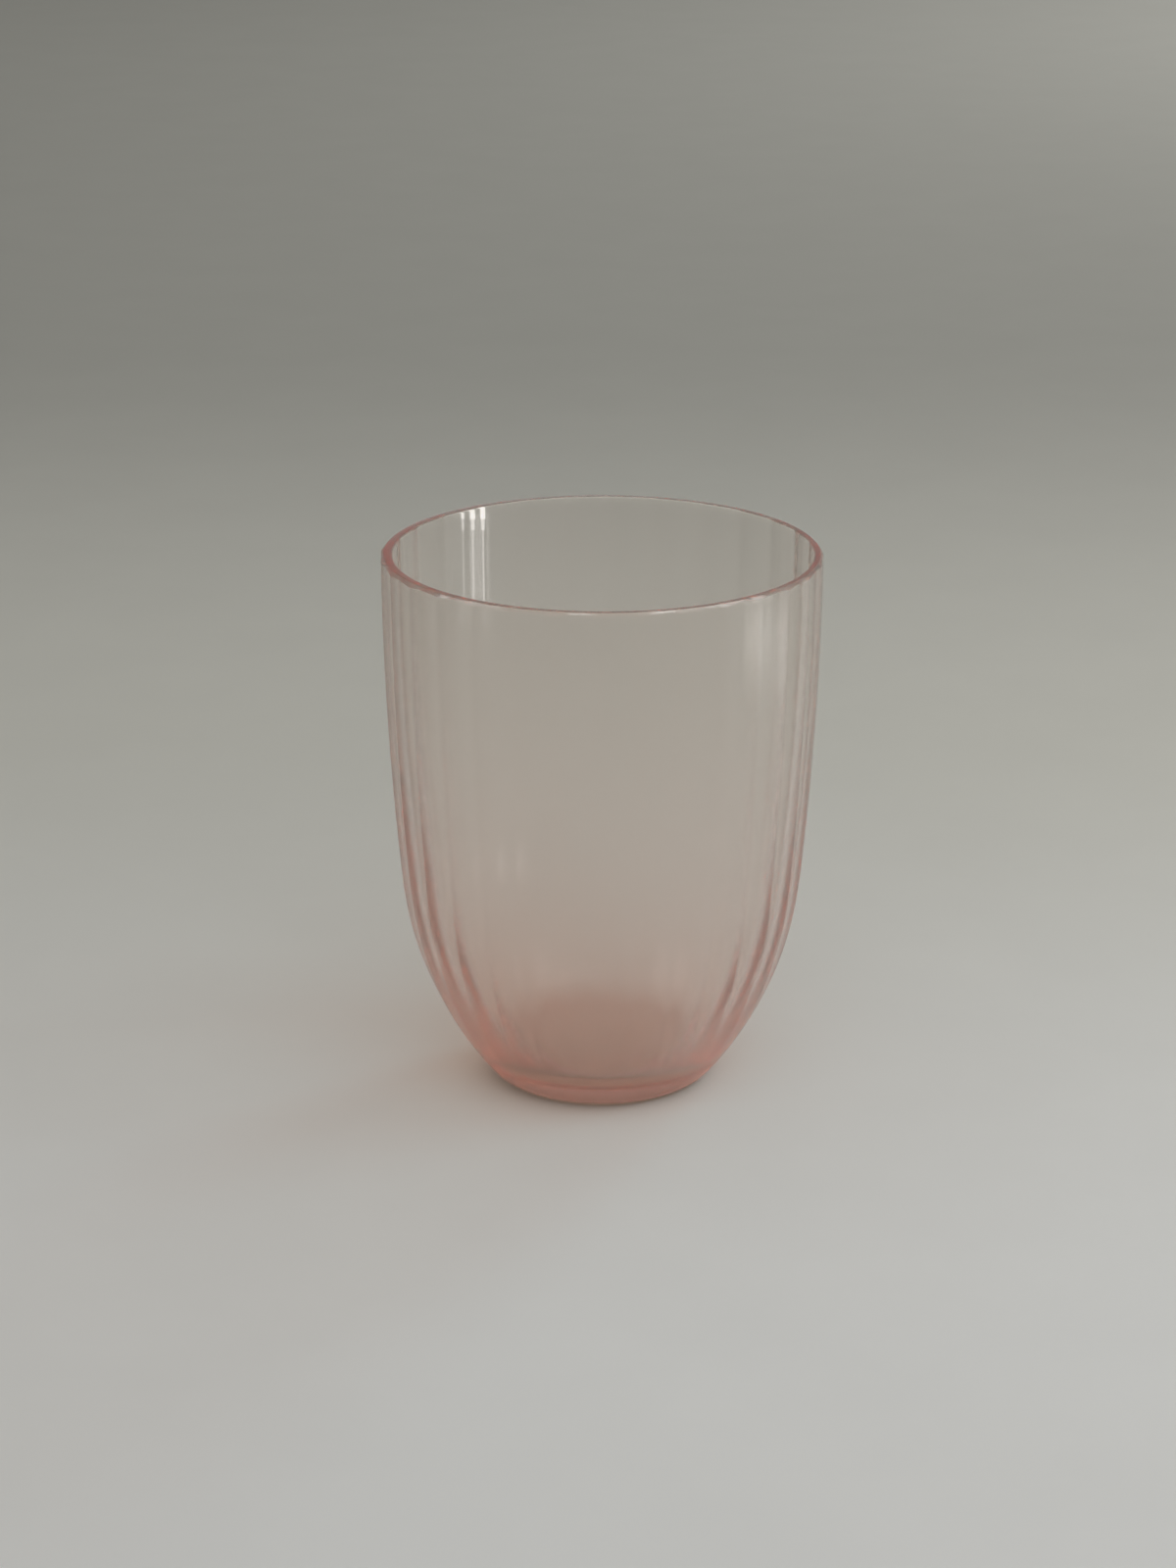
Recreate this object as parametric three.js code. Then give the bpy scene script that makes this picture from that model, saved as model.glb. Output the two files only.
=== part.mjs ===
// Cut glass tumbler: one blown bowl of pink glass with shallow flutes cut round the outside.
// Millimetres, +Z up, origin at the centre of the flat foot.
import * as THREE from 'three';
import { mergeVertices } from 'three/addons/utils/BufferGeometryUtils.js';

// Overall sizes of the blown blank
const HEIGHT = 100.5;
const RIM_DIAMETER = 80;
const FOOT_DIAMETER = 36;

// Outer outline, from the rim down: long wall arc, belly arc, small blend into the foot
const WALL_ARC_RADIUS = 650;
const BELLY_ARC_RADIUS = 70;
const FOOT_BLEND_RADIUS = 4.5;

// The hollow, whose wall arc is tighter, so that the glass thickens towards the belly
const RIM_THICKNESS = 2;
const BASE_THICKNESS = 5;
const INNER_WALL_ARC_RADIUS = 410;
const INNER_BELLY_ARC_RADIUS = 64.5;
const FLOOR_BLEND_RADIUS = 10;
const FLOOR_DIAMETER = 24;

// The rim is ground flat, with a sloping band ground off its outer edge and its inner edge just broken
const RIM_BAND_WIDTH = 0.65;
const RIM_BAND_SLOPE = THREE.MathUtils.degToRad(45);
const MOUTH_BEVEL = 0.35;

// Flutes, cut with a round-edged wheel and fading out towards the foot
const FLUTE_COUNT = 30;
const FLUTE_WHEEL_RADIUS = 60;
const FLUTE_END_HEIGHT = 3;
const FLUTE_FADE_LENGTH = 22;

// Hand cutting: the arris nearest the front, and how far the spacing drifts round the glass
const FRONT_ARRIS_ANGLE = THREE.MathUtils.degToRad(10.1);
const SPACING_DRIFT = THREE.MathUtils.degToRad(4.7);

// Fineness of the facets
const STEPS_PER_FLUTE = 4;
const WALL_STEPS = 4;
const BELLY_STEPS = 7;
const BLEND_STEPS = 3;

const GLASS_COLOUR = '#d9a79c';
const GLASS_ROUGHNESS = 0.06;

// Radii at the rim that follow from the sizes above
const rimRadius = RIM_DIAMETER / 2;
const rimFlatRadius = rimRadius - RIM_BAND_WIDTH;
const mouthRadius = rimRadius - RIM_THICKNESS;

/** Points along an arc about (centre.x, centre.y), without its first point. */
function arcPoints(centre, radius, from, to, steps) {
  const clockwise = to < from;
  const arc = new THREE.EllipseCurve(centre.x, centre.y, radius, radius, from, to, clockwise);
  return arc.getPoints(steps).slice(1);
}

/**
 * Half outline from the edge of a flat bottom up to a top edge where its side is upright.
 * The belly circle lies inside the wall circle and round the blend circle, and touches both.
 */
function meridian({ topRadius, topHeight, flatRadius, flatHeight, wallArc, bellyArc, blend }) {
  const wallCentre = new THREE.Vector2(topRadius - wallArc, topHeight);
  const blendCentre = new THREE.Vector2(flatRadius, flatHeight + blend);
  const toBlend = blendCentre.clone().sub(wallCentre);
  const apart = toBlend.length();
  const fromWall = wallArc - bellyArc;
  const fromBlend = bellyArc - blend;
  const along = (apart ** 2 + fromWall ** 2 - fromBlend ** 2) / (2 * apart);
  const aside = Math.sqrt(fromWall ** 2 - along ** 2);
  const direction = toBlend.divideScalar(apart);
  const bellyCentre = new THREE.Vector2(
    wallCentre.x + along * direction.x - aside * direction.y,
    wallCentre.y + along * direction.y + aside * direction.x,
  );
  const bellyTop = bellyCentre.clone().sub(wallCentre).angle() - 2 * Math.PI;
  const bellyFoot = blendCentre.clone().sub(bellyCentre).angle() - 2 * Math.PI;
  return [
    new THREE.Vector2(flatRadius, flatHeight),
    ...arcPoints(blendCentre, blend, -Math.PI / 2, bellyFoot, BLEND_STEPS),
    ...arcPoints(bellyCentre, bellyArc, bellyFoot, bellyTop, BELLY_STEPS),
    ...arcPoints(wallCentre, wallArc, bellyTop, 0, WALL_STEPS),
  ];
}

/** The outer half outline, from the foot up to the outer edge of the rim's flat. */
function outerOutline() {
  const outline = meridian({
    topRadius: rimRadius,
    topHeight: HEIGHT,
    flatRadius: FOOT_DIAMETER / 2,
    flatHeight: 0,
    wallArc: WALL_ARC_RADIUS,
    bellyArc: BELLY_ARC_RADIUS,
    blend: FOOT_BLEND_RADIUS,
  });
  return [...outline, new THREE.Vector2(rimFlatRadius, HEIGHT)];
}

/** The half outline of the hollow, from the rim's broken inner edge down to the floor. */
function innerOutline() {
  const outline = meridian({
    topRadius: mouthRadius,
    topHeight: HEIGHT - MOUTH_BEVEL,
    flatRadius: FLOOR_DIAMETER / 2,
    flatHeight: BASE_THICKNESS,
    wallArc: INNER_WALL_ARC_RADIUS,
    bellyArc: INNER_BELLY_ARC_RADIUS,
    blend: FLOOR_BLEND_RADIUS,
  });
  return [new THREE.Vector2(mouthRadius + MOUTH_BEVEL, HEIGHT), ...outline.reverse()];
}

/** Radius left by the wheel at an angle from the middle of a flute whose arrises lie at arrisRadius. */
function cutRadius(arrisRadius, angle, halfPitch) {
  const halfChord = arrisRadius * Math.sin(halfPitch);
  const wheelRise = Math.sqrt(FLUTE_WHEEL_RADIUS ** 2 - halfChord ** 2);
  const wheelCentre = arrisRadius * Math.cos(halfPitch) + wheelRise;
  const reach = Math.sqrt(FLUTE_WHEEL_RADIUS ** 2 - (wheelCentre * Math.sin(angle)) ** 2);
  return wheelCentre * Math.cos(angle) - reach;
}

/**
 * Cuts the flutes into the turned blank, up to its row of points at the rim, and lets their spacing drift.
 * The rim's band is ground last, so its lower edge dips at each arris.
 */
function cutFlutes(blank, pointsPerTurn, rimRow) {
  const position = blank.getAttribute('position');
  const pitch = (2 * Math.PI) / FLUTE_COUNT;
  for (let index = 0; index < position.count; index += 1) {
    const column = Math.floor(index / pointsPerTurn);
    const row = index % pointsPerTurn;
    const turn = (column * pitch) / STEPS_PER_FLUTE;
    const fromMiddle = ((column % STEPS_PER_FLUTE) / STEPS_PER_FLUTE - 0.5) * pitch;
    let height = position.getY(index);
    let radius = Math.hypot(position.getX(index), position.getZ(index));
    if (row <= rimRow) {
      const fadeEnd = FLUTE_END_HEIGHT + FLUTE_FADE_LENGTH;
      const strength = THREE.MathUtils.smoothstep(height, FLUTE_END_HEIGHT, fadeEnd);
      radius = THREE.MathUtils.lerp(radius, cutRadius(radius, fromMiddle, pitch / 2), strength);
    }
    if (row === rimRow) {
      height -= (radius - rimFlatRadius) * Math.tan(RIM_BAND_SLOPE);
    }
    const angle = FRONT_ARRIS_ANGLE + turn - SPACING_DRIFT * Math.sin(turn);
    position.setXYZ(index, radius * Math.sin(angle), height, radius * Math.cos(angle));
  }
}

/** The whole glass as one closed body, standing on its foot with +Z up. */
function tumblerGeometry() {
  const outer = [new THREE.Vector2(0, 0), ...outerOutline()];
  const inner = [...innerOutline(), new THREE.Vector2(0, BASE_THICKNESS)];
  const profile = [...outer, ...inner];
  const blank = new THREE.LatheGeometry(profile, FLUTE_COUNT * STEPS_PER_FLUTE);
  const rimRow = outer.length - 2;
  cutFlutes(blank, profile.length, rimRow);
  blank.rotateX(Math.PI / 2);
  blank.deleteAttribute('normal');
  blank.deleteAttribute('uv');
  const closed = mergeVertices(blank);
  closed.computeVertexNormals();
  return closed;
}

const glass = new THREE.MeshStandardMaterial({
  color: GLASS_COLOUR,
  roughness: GLASS_ROUGHNESS,
  metalness: 0,
  flatShading: true,
});

const tumbler = new THREE.Mesh(tumblerGeometry(), glass);
tumbler.name = 'tumbler';

const assembly = new THREE.Group();
assembly.add(tumbler);

export default assembly;
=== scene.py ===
"""Studio picture of a cut glass tumbler: one blown bowl of pink glass with flutes cut down its outside.

Metres, +Z up, the glass standing on its foot at the origin, its photographed side towards -Y.
"""
import logging
import math
from dataclasses import dataclass, field
from enum import Enum

import bpy
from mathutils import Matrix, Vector


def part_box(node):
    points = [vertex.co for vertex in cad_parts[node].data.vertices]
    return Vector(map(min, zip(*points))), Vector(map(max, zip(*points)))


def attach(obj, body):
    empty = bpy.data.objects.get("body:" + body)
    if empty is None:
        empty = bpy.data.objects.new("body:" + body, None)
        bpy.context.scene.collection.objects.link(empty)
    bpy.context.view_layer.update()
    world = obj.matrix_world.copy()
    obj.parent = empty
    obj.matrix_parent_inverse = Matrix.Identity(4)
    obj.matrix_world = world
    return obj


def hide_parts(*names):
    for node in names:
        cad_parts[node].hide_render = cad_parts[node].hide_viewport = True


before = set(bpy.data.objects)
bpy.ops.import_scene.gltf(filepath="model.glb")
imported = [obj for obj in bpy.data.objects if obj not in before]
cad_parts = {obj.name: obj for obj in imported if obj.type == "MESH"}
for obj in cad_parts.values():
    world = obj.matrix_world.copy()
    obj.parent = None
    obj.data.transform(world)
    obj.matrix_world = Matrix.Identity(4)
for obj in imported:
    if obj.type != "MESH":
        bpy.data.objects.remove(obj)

log = logging.getLogger("tumbler")

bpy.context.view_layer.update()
MM = 0.001
FULL_TURN = 2 * math.pi

Socket = bpy.types.NodeSocket
Number = float | Socket
Colour = tuple[float, float, float, float]
Tint = Colour | Socket


class Side(Enum):
    """Which face of the wall a row of the half outline belongs to."""

    OUTSIDE = 1.0
    INSIDE = 0.0


@dataclass(frozen=True)
class Arc:
    """A stretch of a circle in the half outline, in radius and height."""

    centre: Vector
    radius: float
    start: float
    end: float
    steps: int

    def points(self) -> list[Vector]:
        """Spreads points along the arc.

        Returns:
            The points after the first one, as (radius, height) vectors.
        """
        sweep = self.end - self.start
        turns = [self.start + sweep * step / self.steps for step in range(1, self.steps + 1)]
        return [self.centre + self.radius * Vector((math.cos(turn), math.sin(turn))) for turn in turns]


@dataclass(frozen=True)
class OutlineSteps:
    """How many straight steps stand for each arc of a half outline."""

    blend: int
    belly: int
    wall: int
    lip: int


@dataclass(frozen=True)
class Meridian:
    """Half outline from a flat bottom up to an upright rim, made of three arcs that touch."""

    rim_radius: float
    rim_height: float
    flat_radius: float
    flat_height: float
    wall_arc: float
    belly_arc: float
    blend: float
    steps: OutlineSteps
    lip: float = 1.2 * MM

    def belly_centre(self) -> Vector:
        """Finds the circle that touches the wall circle and the blend circle from inside and outside.

        Returns:
            The centre of the belly arc, as (radius, height).
        """
        wall = Vector((self.rim_radius - self.wall_arc, self.rim_height))
        gap = Vector((self.flat_radius, self.flat_height + self.blend)) - wall
        from_wall = self.wall_arc - self.belly_arc
        from_blend = self.belly_arc - self.blend
        along = (gap.length_squared + from_wall**2 - from_blend**2) / (2 * gap.length)
        aside = math.sqrt(from_wall**2 - along**2)
        way = gap.normalized()
        return wall + along * way + aside * Vector((-way.y, way.x))

    def points(self) -> list[Vector]:
        """Walks up the half outline, with finer steps in the lip at the top of the wall.

        Returns:
            Points from the edge of the flat bottom to the rim, as (radius, height).
        """
        wall = Vector((self.rim_radius - self.wall_arc, self.rim_height))
        blend = Vector((self.flat_radius, self.flat_height + self.blend))
        belly = self.belly_centre()
        belly_top = math.atan2(belly.y - wall.y, belly.x - wall.x)
        belly_foot = math.atan2(blend.y - belly.y, blend.x - belly.x)
        lip_turn = -self.lip / self.wall_arc
        arcs = (
            Arc(blend, self.blend, -math.pi / 2, belly_foot, self.steps.blend),
            Arc(belly, self.belly_arc, belly_foot, belly_top, self.steps.belly),
            Arc(wall, self.wall_arc, belly_top, lip_turn, self.steps.wall),
            Arc(wall, self.wall_arc, lip_turn, 0.0, self.steps.lip),
        )
        start = Vector((self.flat_radius, self.flat_height))
        return [start] + [point for arc in arcs for point in arc.points()]


def feed(tree: bpy.types.NodeTree, target: Socket, value: object) -> None:
    """Links an input to another socket, or sets its plain value.

    Args:
        tree: The node tree that holds the input.
        target: The input.
        value: A socket, or a plain value of the input's kind.
    """
    if isinstance(value, Socket):
        tree.links.new(value, target)
    else:
        target.default_value = value


class FieldMath:
    """Writes arithmetic as Math nodes in a node tree."""

    def __init__(self, tree: bpy.types.NodeTree) -> None:
        """Keeps the tree that the nodes go into."""
        self.tree = tree

    def op(self, operation: str, *values: Number) -> Socket:
        """Adds one Math node.

        Args:
            operation: The node's operation, such as ADD.
            values: Numbers or sockets for its inputs, in order.

        Returns:
            The socket with the result.
        """
        node = self.tree.nodes.new("ShaderNodeMath")
        node.operation = operation
        for socket, value in zip(node.inputs, values):
            feed(self.tree, socket, value)
        return node.outputs[0]

    def add(self, a: Number, b: Number) -> Socket:
        """Gives a + b."""
        return self.op("ADD", a, b)

    def sub(self, a: Number, b: Number) -> Socket:
        """Gives a - b."""
        return self.op("SUBTRACT", a, b)

    def mul(self, a: Number, b: Number) -> Socket:
        """Gives a * b."""
        return self.op("MULTIPLY", a, b)

    def div(self, a: Number, b: Number) -> Socket:
        """Gives a / b."""
        return self.op("DIVIDE", a, b)

    def sin(self, angle: Number) -> Socket:
        """Gives the sine of an angle in radians."""
        return self.op("SINE", angle)

    def cos(self, angle: Number) -> Socket:
        """Gives the cosine of an angle in radians."""
        return self.op("COSINE", angle)

    def other_leg(self, long_side: Number, leg: Number) -> Socket:
        """Gives the second leg of a right triangle from its long side and its first leg."""
        return self.op("SQRT", self.sub(self.mul(long_side, long_side), self.mul(leg, leg)))


@dataclass(frozen=True)
class FluteCut:
    """The flutes: round-wheel cuts side by side, fading out above the foot, with hand-cut unevenness."""

    count: int = 30
    steps: int = 16
    wheel_radius: float = 60 * MM
    fade_start: float = 3 * MM
    fade_length: float = 22 * MM
    front_arris: float = math.radians(10.1)
    spacing_drift: float = math.radians(4.7)
    arris_crowding: float = 0.6
    arris_softness: float = 0.1 * MM
    depth_variation: float = 0.25
    seed: int = 7

    def socket_values(self) -> dict[str, float]:
        """Lists the cut's sizes for the node tree.

        Returns:
            The sizes by the names of the tree's inputs.
        """
        return {
            "Flute Count": self.count,
            "Steps per Flute": self.steps,
            "Wheel Radius": self.wheel_radius,
            "Fade Start": self.fade_start,
            "Fade Length": self.fade_length,
            "Front Arris": self.front_arris,
            "Spacing Drift": self.spacing_drift,
            "Arris Crowding": self.arris_crowding,
            "Arris Softness": self.arris_softness,
            "Depth Variation": self.depth_variation,
            "Seed": self.seed,
        }


@dataclass(frozen=True)
class RimGrind:
    """The rim: ground flat on top, with a sloping band ground off its outer edge."""

    flat_radius: float = 39.35 * MM
    slope: float = 1.0
    softness: float = 0.06 * MM

    def socket_values(self) -> dict[str, float]:
        """Lists the grind's sizes for the node tree.

        Returns:
            The sizes by the names of the tree's inputs.
        """
        return {
            "Rim Flat Radius": self.flat_radius,
            "Bevel Slope": self.slope,
            "Bevel Softness": self.softness,
        }


@dataclass(frozen=True)
class OutlinePoint:
    """Sockets that say where a point of the sheet lies on the half outline."""

    column: Socket
    radius: Socket
    height: Socket
    outside: Socket


@dataclass(frozen=True)
class FlutePlace:
    """Sockets that say where a point of the sheet lies among the flutes."""

    number: Socket
    share: Socket
    pitch: Socket


class FlutedTurning:
    """Geometry node tree that turns a half outline round the axis and cuts flutes into its outside.

    A flat sheet gets a row for each point of the outline and a column for each step round the axis, and is
    then rolled up.
    """

    OUTSIDE_NAME = "outside"
    WHOLE_NUMBERS = ("Flute Count", "Steps per Flute", "Seed")
    SEAM = 0.001 * MM

    def __init__(self, sizes: dict[str, float]) -> None:
        """Builds the tree with one named input for each size.

        Args:
            sizes: The sizes by the names of the inputs.
        """
        self.sizes = sizes
        self.tree = bpy.data.node_groups.new("fluted_turning", "GeometryNodeTree")
        self.calc = FieldMath(self.tree)
        self.identifiers: dict[str, str] = {}
        self._declare()
        self.inputs = self._node("NodeGroupInput").outputs
        self._wire()

    def _declare(self) -> None:
        """Makes the tree's outside sockets."""
        sockets = self.tree.interface
        sockets.new_socket("Outline", in_out="INPUT", socket_type="NodeSocketGeometry")
        for name in self.sizes:
            kind = "NodeSocketInt" if name in self.WHOLE_NUMBERS else "NodeSocketFloat"
            self.identifiers[name] = sockets.new_socket(name, in_out="INPUT", socket_type=kind).identifier
        glass = sockets.new_socket("Glass", in_out="INPUT", socket_type="NodeSocketMaterial")
        self.identifiers["Glass"] = glass.identifier
        sockets.new_socket("Glass Body", in_out="OUTPUT", socket_type="NodeSocketGeometry")

    def _node(self, kind: str, **settings: object) -> bpy.types.Node:
        """Adds a node and sets its options.

        Args:
            kind: The node's type name.
            settings: Options by name.

        Returns:
            The new node.
        """
        node = self.tree.nodes.new(kind)
        for name, value in settings.items():
            setattr(node, name, value)
        return node

    def _sample(self, row: Socket, value: Socket, kind: str) -> Socket:
        """Reads a value of the half outline at a row.

        Args:
            row: The point's number along the outline.
            value: The field to read there.
            kind: The node's data type.

        Returns:
            The socket with the value.
        """
        node = self._node("GeometryNodeSampleIndex", data_type=kind, domain="POINT")
        self.tree.links.new(self.inputs["Outline"], node.inputs["Geometry"])
        self.tree.links.new(value, node.inputs["Value"])
        self.tree.links.new(row, node.inputs["Index"])
        return node.outputs["Value"]

    def _rows(self) -> Socket:
        """Counts the points of the half outline.

        Returns:
            The socket with the count.
        """
        size = self._node("GeometryNodeAttributeDomainSize", component="MESH")
        self.tree.links.new(self.inputs["Outline"], size.inputs["Geometry"])
        return size.outputs["Point Count"]

    def _sheet(self, rows: Socket) -> Socket:
        """Makes the flat sheet, whose last column will lie on its first one.

        Args:
            rows: How many points the half outline has.

        Returns:
            The socket with the sheet.
        """
        columns = self.calc.mul(self.inputs["Flute Count"], self.inputs["Steps per Flute"])
        grid = self._node("GeometryNodeMeshGrid")
        self.tree.links.new(self.calc.add(columns, 1.0), grid.inputs["Vertices X"])
        self.tree.links.new(rows, grid.inputs["Vertices Y"])
        return grid.outputs["Mesh"]

    def _outline_point(self, rows: Socket) -> OutlinePoint:
        """Finds the point of the half outline for each point of the sheet.

        Args:
            rows: How many points the half outline has.

        Returns:
            Its column in the sheet, and its place and side on the outline.
        """
        calc = self.calc
        index = self._node("GeometryNodeInputIndex").outputs[0]
        # Half a point keeps the division away from whole numbers, where rounding could go either way.
        column = calc.op("FLOOR", calc.div(calc.add(index, 0.5), rows))
        row = calc.sub(index, calc.mul(column, rows))
        position = self._node("GeometryNodeInputPosition").outputs[0]
        place = self._node("ShaderNodeSeparateXYZ")
        self.tree.links.new(self._sample(row, position, "FLOAT_VECTOR"), place.inputs[0])
        mark = self._node("GeometryNodeInputNamedAttribute", data_type="FLOAT")
        mark.inputs["Name"].default_value = self.OUTSIDE_NAME
        outside = self._sample(row, mark.outputs["Attribute"], "FLOAT")
        return OutlinePoint(column, place.outputs["X"], place.outputs["Z"], outside)

    def _flute_place(self, column: Socket) -> FlutePlace:
        """Finds the flute that a column belongs to, with columns crowded towards the arrises.

        Args:
            column: The column's number.

        Returns:
            The flute's number, the share of its width that lies behind, and the angle between arrises.
        """
        calc = self.calc
        along = calc.div(column, self.inputs["Steps per Flute"])
        number = calc.op("FLOOR", along)
        share = calc.sub(along, number)
        crowding = calc.div(self.inputs["Arris Crowding"], FULL_TURN)
        share = calc.sub(share, calc.mul(calc.sin(calc.mul(share, FULL_TURN)), crowding))
        return FlutePlace(number, share, calc.div(FULL_TURN, self.inputs["Flute Count"]))

    def _cut_depth(self, blank: Socket, flute: FlutePlace) -> Socket:
        """Works out how deep the wheel cuts between two arrises, which are rounded a little.

        Args:
            blank: Radius of the uncut blank, where the arrises stay.
            flute: The place among the flutes.

        Returns:
            The socket with the depth.
        """
        calc = self.calc
        wheel = self.inputs["Wheel Radius"]
        angle = calc.mul(calc.sub(flute.share, 0.5), flute.pitch)
        half_pitch = calc.mul(flute.pitch, 0.5)
        rise = calc.other_leg(wheel, calc.mul(blank, calc.sin(half_pitch)))
        centre = calc.add(calc.mul(blank, calc.cos(half_pitch)), rise)
        reach = calc.other_leg(wheel, calc.mul(centre, calc.sin(angle)))
        cut = calc.sub(calc.mul(centre, calc.cos(angle)), reach)
        depth = calc.sub(blank, cut)
        softness = self.inputs["Arris Softness"]
        rounded = calc.op("SQRT", calc.add(calc.mul(depth, depth), calc.mul(softness, softness)))
        return calc.sub(rounded, softness)

    def _strength(self, point: OutlinePoint, flute: FlutePlace) -> Socket:
        """Fades the cut out towards the foot and makes some flutes shallower than others.

        Args:
            point: The place on the half outline.
            flute: The place among the flutes.

        Returns:
            The socket with the share of the full depth, which is 0 on the inside.
        """
        calc = self.calc
        links = self.tree.links
        chance = self._node("FunctionNodeRandomValue", data_type="FLOAT")
        chance.inputs["Min"].default_value = 0.0
        chance.inputs["Max"].default_value = 1.0
        links.new(flute.number, chance.inputs["ID"])
        links.new(self.inputs["Seed"], chance.inputs["Seed"])
        left_out = calc.mul(self.inputs["Depth Variation"], chance.outputs["Value"])
        fade_end = calc.add(self.inputs["Fade Start"], self.inputs["Fade Length"])
        fade = self._node("ShaderNodeMapRange", interpolation_type="SMOOTHSTEP")
        links.new(point.height, fade.inputs["Value"])
        links.new(self.inputs["Fade Start"], fade.inputs["From Min"])
        links.new(fade_end, fade.inputs["From Max"])
        return calc.mul(calc.mul(fade.outputs["Result"], point.outside), calc.sub(1.0, left_out))

    def _grind(self, radius: Socket, point: OutlinePoint) -> Socket:
        """Grinds the sloping band off the rim's outer edge.

        Args:
            radius: Radius after the flutes are cut.
            point: The place on the half outline.

        Returns:
            The socket with the radius that is left.
        """
        calc = self.calc
        below = calc.sub(self.inputs["Rim Height"], point.height)
        band = calc.add(self.inputs["Rim Flat Radius"], calc.mul(below, self.inputs["Bevel Slope"]))
        ground = calc.op("SMOOTH_MIN", radius, band, self.inputs["Bevel Softness"])
        return calc.add(radius, calc.mul(calc.sub(ground, radius), point.outside))

    def _position(self, radius: Socket, point: OutlinePoint, flute: FlutePlace) -> Socket:
        """Rolls the sheet up round the axis, with drifting flutes and the hollow a little off centre.

        Args:
            radius: The finished radius.
            point: The place on the half outline.
            flute: The place among the flutes.

        Returns:
            The socket with the position.
        """
        calc = self.calc
        turn = calc.mul(calc.add(flute.number, flute.share), flute.pitch)
        drift = calc.mul(self.inputs["Spacing Drift"], calc.sin(turn))
        azimuth = calc.sub(calc.add(self.inputs["Front Arris"], turn), drift)
        shift = calc.mul(self.inputs["Hollow Offset"], calc.sub(1.0, point.outside))
        join = self._node("ShaderNodeCombineXYZ")
        feed(self.tree, join.inputs["X"], calc.add(shift, calc.mul(radius, calc.sin(azimuth))))
        feed(self.tree, join.inputs["Y"], calc.mul(radius, calc.mul(calc.cos(azimuth), -1.0)))
        feed(self.tree, join.inputs["Z"], point.height)
        return join.outputs[0]

    def _finish(self, sheet: Socket, position: Socket, outside: Socket) -> None:
        """Moves the sheet's points, closes its seam and gives it the glass.

        Args:
            sheet: The flat sheet.
            position: Where each point goes.
            outside: The mark of the outside, kept for the material.
        """
        links = self.tree.links
        moved = self._node("GeometryNodeSetPosition")
        links.new(sheet, moved.inputs["Geometry"])
        links.new(position, moved.inputs["Position"])
        marked = self._node("GeometryNodeStoreNamedAttribute", data_type="FLOAT", domain="POINT")
        marked.inputs["Name"].default_value = self.OUTSIDE_NAME
        links.new(outside, marked.inputs["Value"])
        merged = self._node("GeometryNodeMergeByDistance")
        merged.inputs["Distance"].default_value = self.SEAM
        smooth = self._node("GeometryNodeSetShadeSmooth")
        realized = self._node("GeometryNodeRealizeInstances")
        glazed = self._node("GeometryNodeSetMaterial")
        links.new(self.inputs["Glass"], glazed.inputs["Material"])
        chain = (moved, marked, merged, smooth, realized, glazed, self._node("NodeGroupOutput"))
        for before, after in zip(chain, chain[1:]):
            links.new(before.outputs[0], after.inputs[0])

    def _wire(self) -> None:
        """Places the nodes from the outline to the finished glass body."""
        rows = self._rows()
        sheet = self._sheet(rows)
        point = self._outline_point(rows)
        flute = self._flute_place(point.column)
        depth = self.calc.mul(self._cut_depth(point.radius, flute), self._strength(point, flute))
        radius = self._grind(self.calc.sub(point.radius, depth), point)
        self._finish(sheet, self._position(radius, point, flute), point.outside)

    def apply(self, outline: bpy.types.Object, glass: bpy.types.Material, name: str) -> bpy.types.Object:
        """Runs the tree on a half outline and keeps the result as a plain mesh.

        Args:
            outline: The object that holds the half outline; it is deleted afterwards.
            glass: The material of the finished body.
            name: The name of the finished object.

        Returns:
            The object with the plain mesh, at the origin.
        """
        modifier = outline.modifiers.new("fluted_turning", "NODES")
        modifier.node_group = self.tree
        for socket, value in self.sizes.items():
            modifier[self.identifiers[socket]] = value
        modifier[self.identifiers["Glass"]] = glass
        graph = bpy.context.evaluated_depsgraph_get()
        mesh = bpy.data.meshes.new_from_object(outline.evaluated_get(graph), depsgraph=graph)
        mesh.name = name
        bpy.data.objects.remove(outline)
        body = bpy.data.objects.new(name, mesh)
        bpy.context.scene.collection.objects.link(body)
        return body


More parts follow.
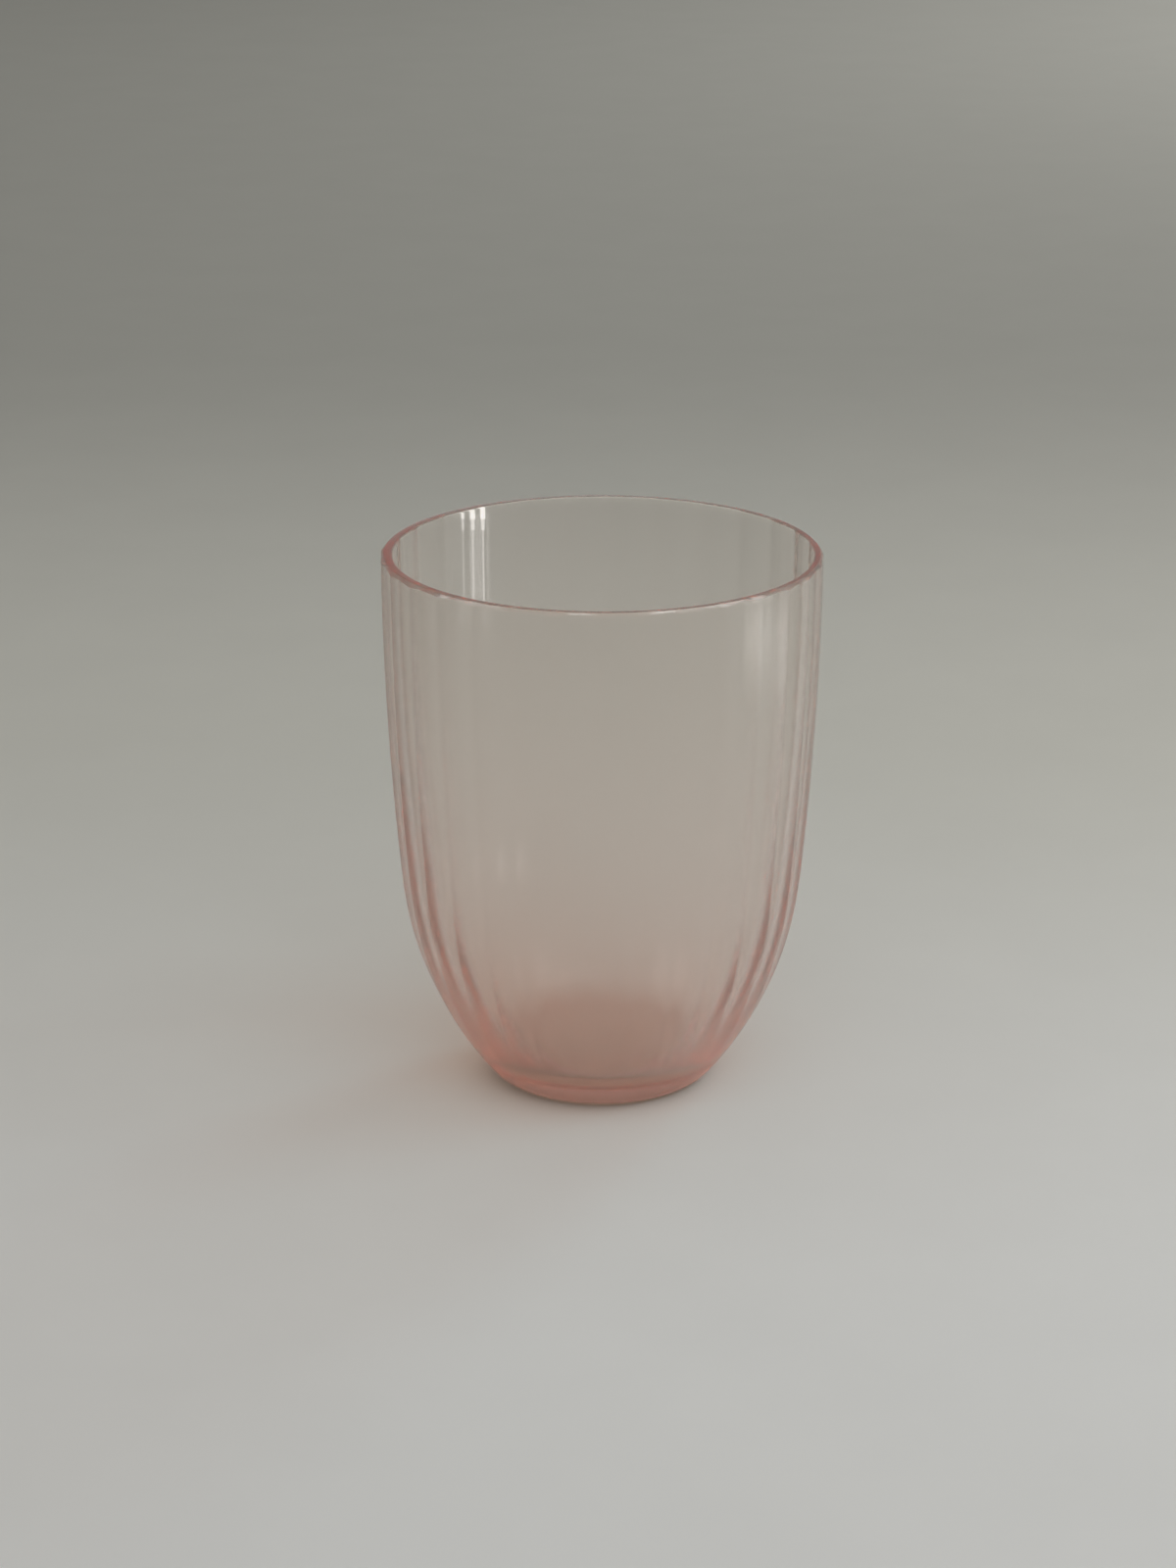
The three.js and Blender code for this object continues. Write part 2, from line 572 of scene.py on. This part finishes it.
class ShaderTree:
    """The node tree of a material or of the room, with short calls for placing and linking nodes."""

    def __init__(self, owner: bpy.types.Material | bpy.types.World) -> None:
        """Turns on the owner's nodes and keeps their tree.

        Args:
            owner: The material or the world.
        """
        self.owner = owner
        self.owner.use_nodes = True
        self.tree = owner.node_tree

    @classmethod
    def for_material(cls, name: str) -> "ShaderTree":
        """Starts a new material without nodes.

        Args:
            name: The material's name.

        Returns:
            The material's tree.
        """
        shader = cls(bpy.data.materials.new(name))
        shader.tree.nodes.clear()
        return shader

    def node(self, kind: str, **values: object) -> bpy.types.Node:
        """Adds a node and feeds its inputs.

        Args:
            kind: The node's type name.
            values: Plain values or sockets by input name, with underscores for spaces.

        Returns:
            The new node.
        """
        node = self.tree.nodes.new(kind)
        for name, value in values.items():
            feed(self.tree, node.inputs[name.replace("_", " ")], value)
        return node

    def rise(self, low: float, high: float, axis: str = "Z", space: str = "Object") -> Socket:
        """Makes a value that goes smoothly from 0 to 1 along an axis.

        Args:
            low: Place on the axis up to which it is 0.
            high: Place on the axis from which it is 1.
            axis: The axis.
            space: The output of the Texture Coordinate node that gives the place.

        Returns:
            The socket with the value.
        """
        place = self.node("ShaderNodeTexCoord")
        split = self.node("ShaderNodeSeparateXYZ", Vector=place.outputs[space])
        ramp = self.node("ShaderNodeMapRange", From_Min=low, From_Max=high, Value=split.outputs[axis])
        ramp.interpolation_type = "SMOOTHSTEP"
        return ramp.outputs["Result"]

    def blend(self, start: Tint, end: Tint, factor: Socket) -> Socket:
        """Blends two colours.

        Args:
            start: Colour, or socket with the colour, where the factor is 0.
            end: Colour, or socket with the colour, where the factor is 1.
            factor: The socket with the factor.

        Returns:
            The socket with the colour.
        """
        node = self.tree.nodes.new("ShaderNodeMix")
        node.data_type = "RGBA"
        colours = [socket for socket in node.inputs if socket.type == "RGBA"]
        for socket, colour in zip(colours, (start, end)):
            feed(self.tree, socket, colour)
        feed(self.tree, node.inputs["Factor"], factor)
        return next(socket for socket in node.outputs if socket.type == "RGBA")

    def show(self, surface: Socket, volume: Socket | None = None) -> bpy.types.Material:
        """Ends a material's tree in its output.

        Args:
            surface: The shader of the surface.
            volume: The shader of the inside, if it has one.

        Returns:
            The finished material.
        """
        output = self.node("ShaderNodeOutputMaterial", Surface=surface)
        if volume:
            feed(self.tree, output.inputs["Volume"], volume)
        return self.owner


class MottleGroup:
    """Shader node group: a soft cloudy mask in Object coordinates, for polish, ripple and floor."""

    NAME = "soft_mottle"
    DETAIL = 3.0
    THIN = 0.3
    THICK = 0.7

    @classmethod
    def tree(cls) -> bpy.types.NodeTree:
        """Builds the group once.

        Returns:
            The group, with inputs Scale, Low and High and the output Mask.
        """
        made = bpy.data.node_groups.get(cls.NAME)
        if made:
            return made
        group = bpy.data.node_groups.new(cls.NAME, "ShaderNodeTree")
        for name in ("Scale", "Low", "High"):
            group.interface.new_socket(name, in_out="INPUT", socket_type="NodeSocketFloat")
        group.interface.new_socket("Mask", in_out="OUTPUT", socket_type="NodeSocketFloat")
        source = group.nodes.new("NodeGroupInput")
        place = group.nodes.new("ShaderNodeTexCoord")
        noise = group.nodes.new("ShaderNodeTexNoise")
        noise.inputs["Detail"].default_value = cls.DETAIL
        spread = group.nodes.new("ShaderNodeMapRange")
        spread.inputs["From Min"].default_value = cls.THIN
        spread.inputs["From Max"].default_value = cls.THICK
        result = group.nodes.new("NodeGroupOutput")
        group.links.new(place.outputs["Object"], noise.inputs["Vector"])
        group.links.new(source.outputs["Scale"], noise.inputs["Scale"])
        group.links.new(noise.outputs["Fac"], spread.inputs["Value"])
        group.links.new(source.outputs["Low"], spread.inputs["To Min"])
        group.links.new(source.outputs["High"], spread.inputs["To Max"])
        group.links.new(spread.outputs["Result"], result.inputs["Mask"])
        return group

    @classmethod
    def place(cls, shader: ShaderTree, scale: float, low: float, high: float) -> Socket:
        """Puts the group into a material.

        Args:
            shader: The material's tree.
            scale: Cloud size, in clouds to the metre.
            low: Value in the thinnest clouds.
            high: Value in the thickest clouds.

        Returns:
            The socket with the mask.
        """
        node = shader.tree.nodes.new("ShaderNodeGroup")
        node.node_tree = cls.tree()
        for name, value in {"Scale": scale, "Low": low, "High": high}.items():
            node.inputs[name].default_value = value
        return node.outputs["Mask"]


@dataclass(frozen=True)
class PinkGlass:
    """Clear glass with a trace of haze, tinted pink in the mass, with a fine hand polish.

    The stain colours the surface by height. The painted shadow colours stand in for the light that the
    glass lets through towards the floor, which is not traced: under the foot, round the foot's edge and
    through the wall.
    """

    index: float = 1.48
    haze: float = 0.04
    tint: Colour = (0.91, 0.38, 0.21, 1.0)
    tint_density: float = 26.0
    stain_foot: Colour = (1.0, 0.97, 0.95, 1.0)
    stain_middle: Colour = (0.99, 0.985, 0.97, 1.0)
    stain_top: Colour = (0.955, 0.95, 0.93, 1.0)
    middle_fade: tuple[float, float] = (3 * MM, 32 * MM)
    top_fade: tuple[float, float] = (50 * MM, 95 * MM)
    # Painted shadow: these colours, not traced light, give the shade that the glass casts on the floor,
    # darkest at the front of the foot's edge.
    foot_front_painted_shadow: Colour = (0.70, 0.62, 0.575, 1.0)
    foot_back_painted_shadow: Colour = (0.91, 0.82, 0.775, 1.0)
    foot_reach: float = 14 * MM
    edge_front_painted_shadow: Colour = (0.32, 0.28, 0.24, 1.0)
    edge_back_painted_shadow: Colour = (0.80, 0.72, 0.67, 1.0)
    wall_painted_shadow: Colour = (0.915, 0.885, 0.85, 1.0)
    edge_low: float = 0.2 * MM
    edge_high: float = 4.5 * MM
    blown_roughness: float = 0.03
    rim_roughness: float = 0.05
    rim_low: float = 99.6 * MM
    rim_high: float = 99.9 * MM
    polish_scale: float = 90.0
    polish_low: float = 0.19
    polish_high: float = 0.25
    ripple_scale: float = 120.0
    ripple_depth: float = 0.006 * MM

    def _stain(self, shader: ShaderTree) -> Socket:
        """Gives the surface's colour, which is warmest at the foot."""
        lower = shader.blend(self.stain_foot, self.stain_middle, shader.rise(*self.middle_fade))
        return shader.blend(lower, self.stain_top, shader.rise(*self.top_fade))

    def _roughness(self, shader: ShaderTree) -> Socket:
        """Sets the blown inside, the cut outside and the ground rim apart by their polish.

        Args:
            shader: The material's tree.

        Returns:
            The socket with the roughness.
        """
        side = shader.node("ShaderNodeAttribute")
        side.attribute_name = FlutedTurning.OUTSIDE_NAME
        wall = shader.node(
            "ShaderNodeMapRange",
            Value=side.outputs["Fac"],
            To_Min=self.blown_roughness,
            To_Max=MottleGroup.place(shader, self.polish_scale, self.polish_low, self.polish_high),
        )
        whole = shader.node(
            "ShaderNodeMapRange",
            Value=shader.rise(self.rim_low, self.rim_high),
            To_Min=wall.outputs["Result"],
            To_Max=self.rim_roughness,
        )
        return whole.outputs["Result"]

    def _ripple(self, shader: ShaderTree) -> Socket:
        """Ripples the surface faintly.

        Args:
            shader: The material's tree.

        Returns:
            The socket with the normal.
        """
        ripple = MottleGroup.place(shader, self.ripple_scale, 0.0, 1.0)
        bump = shader.node("ShaderNodeBump", Strength=1.0, Distance=self.ripple_depth, Height=ripple)
        return bump.outputs["Normal"]

    def _painted_shadow(self, shader: ShaderTree) -> Socket:
        """Paints the shadow that the glass casts on the floor in place of traced light; the painted shade
        is darkest at the front of the foot's edge.

        Args:
            shader: The material's tree.

        Returns:
            The socket with the colour.
        """
        # Painted shade: the shadow is darker at the front of the foot than at the back.
        depth = shader.rise(-self.foot_reach, self.foot_reach, "Y")
        foot = shader.blend(self.foot_front_painted_shadow, self.foot_back_painted_shadow, depth)
        edge = shader.blend(self.edge_front_painted_shadow, self.edge_back_painted_shadow, depth)
        lower = shader.blend(foot, edge, shader.rise(0.0, self.edge_low))
        return shader.blend(lower, self.wall_painted_shadow, shader.rise(self.edge_low, self.edge_high))

    def material(self) -> bpy.types.Material:
        """Builds the glass.

        Returns:
            The material: a clear shell round a tinted body; lamps and room light pass through it onto the
                floor in the painted shadow colours.
        """
        shader = ShaderTree.for_material("pink_glass")
        shell = shader.node(
            "ShaderNodeBsdfPrincipled",
            Base_Color=self._stain(shader),
            Roughness=self._roughness(shader),
            Normal=self._ripple(shader),
            Metallic=0.0,
            IOR=self.index,
            Transmission_Weight=1.0 - self.haze,
        )
        # Shadow and diffuse rays pass straight through in the painted shadow colours, so the glass's
        # shadow on the floor is painted, not traced.
        path = shader.node("ShaderNodeLightPath")
        way = shader.node("ShaderNodeBsdfTransparent", Color=self._painted_shadow(shader))
        surface = shell.outputs[0]
        for ray in ("Is Shadow Ray", "Is Diffuse Ray"):
            mix = shader.node("ShaderNodeMixShader")
            for target, source in zip(mix.inputs, (path.outputs[ray], surface, way.outputs[0])):
                feed(shader.tree, target, source)
            surface = mix.outputs[0]
        body = shader.node("ShaderNodeVolumeAbsorption", Color=self.tint, Density=self.tint_density)
        return shader.show(surface, body.outputs[0])


@dataclass(frozen=True)
class PaleFloor:
    """Matt pale floor, with painted shade that darkens it gently towards the back, where less light would
    fall.
    """

    near: Colour = (0.91, 0.91, 0.89, 1.0)
    middle: Colour = (0.72, 0.71, 0.65, 1.0)
    far: Colour = (0.49, 0.485, 0.445, 1.0)
    near_shade_fade: tuple[float, float] = (-0.12, 0.22)
    far_shade_fade: tuple[float, float] = (0.18, 0.65)
    mottle_scale: float = 30.0
    mottle_low: float = 0.98
    mottle_high: float = 1.0
    roughness: float = 0.9
    shine: float = 0.2

    def material(self) -> bpy.types.Material:
        """Builds the floor's finish.

        Returns:
            The material.
        """
        shader = ShaderTree.for_material("pale_floor")
        # Painted shade: the floor's colour darkens from front to back as if less light reached it.
        colour = shader.blend(self.near, self.middle, shader.rise(*self.near_shade_fade, "Y"))
        colour = shader.blend(colour, self.far, shader.rise(*self.far_shade_fade, "Y"))
        mottle = MottleGroup.place(shader, self.mottle_scale, self.mottle_low, self.mottle_high)
        shade = shader.node("ShaderNodeHueSaturation", Value=mottle, Color=colour)
        matt = shader.node(
            "ShaderNodeBsdfPrincipled",
            Base_Color=shade.outputs[0],
            Roughness=self.roughness,
            Specular_IOR_Level=self.shine,
        )
        return shader.show(matt.outputs[0])


@dataclass
class Tumbler:
    """The glass: sizes of its walls, its flutes and its finish."""

    height: float
    rim_radius: float
    foot_radius: float = 18 * MM
    wall_arc: float = 650 * MM
    belly_arc: float = 70 * MM
    foot_blend: float = 4.5 * MM
    mouth_radius: float = 38.0 * MM
    hollow_offset: float = 0.25 * MM
    base_thickness: float = 5 * MM
    inner_wall_arc: float = 410 * MM
    inner_belly_arc: float = 64.5 * MM
    floor_blend: float = 10 * MM
    floor_radius: float = 12 * MM
    mouth_edge: float = 0.35 * MM
    grind: RimGrind = field(default_factory=RimGrind)
    cut: FluteCut = field(default_factory=FluteCut)
    finish: PinkGlass = field(default_factory=PinkGlass)

    NODE = "tumbler"
    SLOT = "pink_glass"
    OUTER_STEPS = OutlineSteps(blend=8, belly=30, wall=36, lip=16)
    INNER_STEPS = OutlineSteps(blend=12, belly=24, wall=24, lip=1)
    EDGE_STEPS = 4
    FLAT_STEPS = 3

    def _flat(self, radius: float, height: float) -> list[Vector]:
        """Gives points from the axis to just inside the edge of a level disc."""
        return [Vector((radius * i / self.FLAT_STEPS, height)) for i in range(self.FLAT_STEPS)]

    def _outside(self) -> list[Vector]:
        """Walks from the middle of the foot up the outside to the top of the rim.

        Returns:
            Points as (radius, height).
        """
        skin = Meridian(
            rim_radius=self.rim_radius,
            rim_height=self.height,
            flat_radius=self.foot_radius,
            flat_height=0.0,
            wall_arc=self.wall_arc,
            belly_arc=self.belly_arc,
            blend=self.foot_blend,
            steps=self.OUTER_STEPS,
        )
        return self._flat(self.foot_radius, 0.0) + skin.points()

    def _inside(self) -> list[Vector]:
        """Walks from the top of the rim down the inside to the middle of the floor.

        Returns:
            Points as (radius, height).
        """
        hollow = Meridian(
            rim_radius=self.mouth_radius,
            rim_height=self.height - self.mouth_edge,
            flat_radius=self.floor_radius,
            flat_height=self.base_thickness,
            wall_arc=self.inner_wall_arc,
            belly_arc=self.inner_belly_arc,
            blend=self.floor_blend,
            steps=self.INNER_STEPS,
        )
        corner = Vector((self.mouth_radius + self.mouth_edge, self.height - self.mouth_edge))
        edge = Arc(corner, self.mouth_edge, math.pi, math.pi / 2, self.EDGE_STEPS)
        top = Vector((self.mouth_radius + 2 * self.mouth_edge, self.height))
        floor = self._flat(self.floor_radius, self.base_thickness)
        upwards = [*floor, *hollow.points(), *edge.points(), top]
        return upwards[::-1]

    def _outline(self) -> bpy.types.Object:
        """Makes the half outline as a string of edges that knows which rows lie outside.

        Returns:
            The outline's object.
        """
        sides = {Side.OUTSIDE: self._outside(), Side.INSIDE: self._inside()}
        rows = [point for points in sides.values() for point in points]
        marks = [side.value for side, points in sides.items() for _ in points]
        edges = [(i, i + 1) for i in range(len(rows) - 1)]
        mesh = bpy.data.meshes.new("half_outline")
        mesh.from_pydata([(point.x, 0.0, point.y) for point in rows], edges, [])
        mark = mesh.attributes.new(FlutedTurning.OUTSIDE_NAME, "FLOAT", "POINT")
        mark.data.foreach_set("value", marks)
        outline = bpy.data.objects.new("half_outline", mesh)
        bpy.context.scene.collection.objects.link(outline)
        return outline

    def build(self) -> bpy.types.Object:
        """Turns, cuts and dresses the glass and puts it in the frame.

        Returns:
            The finished piece.
        """
        sizes = self.cut.socket_values() | self.grind.socket_values()
        sizes |= {"Rim Height": self.height, "Hollow Offset": self.hollow_offset}
        glass = FlutedTurning(sizes).apply(self._outline(), self.finish.material(), "fluted_bowl")
        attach(glass, "root")
        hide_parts(self.NODE)
        log.info("%s: %d faces", glass.name, len(glass.data.polygons))
        return glass


class Reach(Enum):
    """What a lamp shines on."""

    FLOOR = "floor"
    GLASS = "glass"


@dataclass(frozen=True)
class SoftBox:
    """A rectangular soft lamp that looks at a point, with its power in watts."""

    name: str
    place: tuple[float, float, float]
    target: tuple[float, float, float]
    width: float
    height: float
    power: float
    reach: Reach

    def build(self) -> bpy.types.Object:
        """Hangs the lamp.

        Returns:
            The lamp's object.
        """
        data = bpy.data.lights.new(self.name, "AREA")
        data.shape = "RECTANGLE"
        data.size = self.width
        data.size_y = self.height
        data.energy = self.power
        lamp = bpy.data.objects.new(self.name, data)
        lamp.location = self.place
        way = Vector(self.target) - Vector(self.place)
        lamp.rotation_euler = way.to_track_quat("-Z", "Y").to_euler()
        lamp.visible_camera = False
        lamp.visible_diffuse = self.reach is Reach.FLOOR
        lamp.visible_glossy = self.reach is Reach.GLASS
        lamp.visible_transmission = self.reach is Reach.GLASS
        bpy.context.scene.collection.objects.link(lamp)
        log.info("%s: soft lamp", self.name)
        return lamp


@dataclass(frozen=True)
class Streak:
    """A bright streak down the far wall of the glass."""

    aside: float
    width: float


@dataclass(frozen=True)
class StreakPart:
    """One length of every streak; its glow is the card's own brightness, where 1 is white."""

    name: str
    length: float
    width_share: float
    glow: float


@dataclass(frozen=True)
class PhotoCamera:
    """The camera at the photograph's viewing angle, for a 1200 by 1600 frame."""

    aside: float = -2.5 * MM
    away: float = 614 * MM
    above: float = 272 * MM
    tilt: float = math.radians(19.39)
    lens_mm: float = 81.0
    sensor_mm: float = 36.0
    nearest: float = 0.01
    farthest: float = 20.0

    def build(self) -> bpy.types.Object:
        """Sets up the scene's camera.

        Returns:
            The camera's object.
        """
        data = bpy.data.cameras.new("camera")
        data.sensor_width = self.sensor_mm
        data.lens = self.lens_mm
        data.clip_start = self.nearest
        data.clip_end = self.farthest
        camera = bpy.data.objects.new("camera", data)
        camera.location = (self.aside, -self.away, self.above)
        camera.rotation_euler = (math.pi / 2 - self.tilt, 0.0, 0.0)
        bpy.context.scene.collection.objects.link(camera)
        bpy.context.scene.camera = camera
        return camera


@dataclass(frozen=True)
class Studio:
    """Pale floor, soft lamps, room light and the camera."""

    floor_reach: float = 6.0
    floor_gap: float = 0.15 * MM
    light_bounces: int = 32
    room_low: Colour = (0.35, 0.35, 0.34, 1.0)
    room_high: Colour = (0.22, 0.22, 0.21, 1.0)
    room_fade: tuple[float, float] = (math.radians(3), math.radians(20))
    floor: PaleFloor = field(default_factory=PaleFloor)
    camera: PhotoCamera = field(default_factory=PhotoCamera)
    lamps: tuple[SoftBox, ...] = (
        SoftBox(
            "right_window", place=(0.60, 0.02, 0.36), target=(0.0, 0.0, 0.0),
            width=0.30, height=0.30, power=0.8, reach=Reach.FLOOR,
        ),
        SoftBox(
            "back_window", place=(1.1, 1.5, 0.8), target=(0.2, 1.3, 0.0),
            width=0.6, height=0.6, power=8.6, reach=Reach.FLOOR,
        ),
        SoftBox(
            "overhead", place=(0.3, -0.8, 1.3), target=(0.0, -0.1, 0.0),
            width=1.2, height=1.2, power=6.0, reach=Reach.FLOOR,
        ),
        SoftBox(
            "left_panel", place=(-0.8, 0.0, 0.8), target=(0.0, 0.0, 0.05),
            width=0.6, height=0.6, power=1.8, reach=Reach.GLASS,
        ),
        SoftBox(
            "right_panel", place=(0.8, 0.0, 0.8), target=(0.0, 0.0, 0.05),
            width=0.6, height=0.6, power=1.8, reach=Reach.GLASS,
        ),
        SoftBox(
            "front_strip", place=(0.13, -0.30, 1.15), target=(0.04, 0.34, 0.1),
            width=0.7, height=0.05, power=0.55, reach=Reach.GLASS,
        ),
        SoftBox(
            "right_strip", place=(0.75, -0.02, 1.15), target=(0.37, 0.49, 0.1),
            width=1.1, height=0.06, power=0.35, reach=Reach.GLASS,
        ),
        SoftBox(
            "right_card", place=(0.16, -0.02, 0.047), target=(0.0, 0.0, 0.047),
            width=0.035, height=0.02, power=0.006, reach=Reach.GLASS,
        ),
        SoftBox(
            "back_panel", place=(0.0, 1.4, 0.58), target=(0.0, 0.0, 0.1),
            width=1.2, height=0.3, power=0.1, reach=Reach.GLASS,
        ),
    )
    streak_depth: float = 34 * MM
    streak_top: float = 100 * MM
    streaks: tuple[Streak, ...] = (
        Streak(aside=-26.9 * MM, width=0.7 * MM),
        Streak(aside=-24.8 * MM, width=1.0 * MM),
        Streak(aside=-23.0 * MM, width=1.0 * MM),
    )
    streak_parts: tuple[StreakPart, ...] = (
        StreakPart("hot", length=2.6 * MM, width_share=1.0, glow=0.75),
        StreakPart("warm", length=2.2 * MM, width_share=0.7, glow=0.45),
        StreakPart("tail", length=19 * MM, width_share=0.35, glow=0.26),
    )

    def _streak_lamps(self) -> list[SoftBox]:
        """Works out the thin cards behind the glass that draw bright streaks down its far wall.

        Returns:
            The cards, as lamps, streak by streak from the top down.
        """
        cards = []
        for number, streak in enumerate(self.streaks, 1):
            top = self.streak_top
            for part in self.streak_parts:
                name = f"{part.name}_{number}"
                across = streak.width * part.width_share
                middle = top - part.length / 2
                place = (streak.aside, self.streak_depth, middle)
                target = (streak.aside, 0.0, middle)
                power = part.glow * math.pi * across * part.length
                cards.append(SoftBox(name, place, target, across, part.length, power, Reach.GLASS))
                top -= part.length
        return cards

    def _floor(self) -> None:
        """Lays the floor under the glass."""
        far = self.floor_reach
        level = -self.floor_gap
        corners = [(-far, -far, level), (far, -far, level), (far, far, level), (-far, far, level)]
        mesh = bpy.data.meshes.new("floor")
        mesh.from_pydata(corners, [], [(0, 1, 2, 3)])
        mesh.materials.append(self.floor.material())
        plane = bpy.data.objects.new("floor", mesh)
        bpy.context.scene.collection.objects.link(plane)

    def _room(self) -> None:
        """Fills the room with light that is pale near the floor and dim overhead."""
        world = bpy.data.worlds.new("room")
        shader = ShaderTree(world)
        low, high = (math.sin(angle) for angle in self.room_fade)
        light = shader.blend(self.room_low, self.room_high, shader.rise(low, high, "Z", "Generated"))
        feed(shader.tree, shader.tree.nodes["Background"].inputs["Color"], light)
        bpy.context.scene.world = world

    def build(self) -> None:
        """Sets up the stage, the light and the camera."""
        self._floor()
        self._room()
        for lamp in (*self.lamps, *self._streak_lamps()):
            lamp.build()
        self.camera.build()
        scene = bpy.context.scene
        scene.view_settings.view_transform = "Standard"
        scene.cycles.max_bounces = self.light_bounces
        scene.cycles.glossy_bounces = self.light_bounces
        scene.cycles.transmission_bounces = self.light_bounces


def main() -> None:
    """Builds the studio and the glass."""
    logging.basicConfig(level=logging.INFO, format="%(name)s: %(message)s")
    Studio().build()
    low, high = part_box(Tumbler.NODE)
    reach = max(high[0], high[1], -low[0], -low[1])
    Tumbler(height=high[2] - low[2], rim_radius=reach).build()


if __name__ == "__main__":
    main()
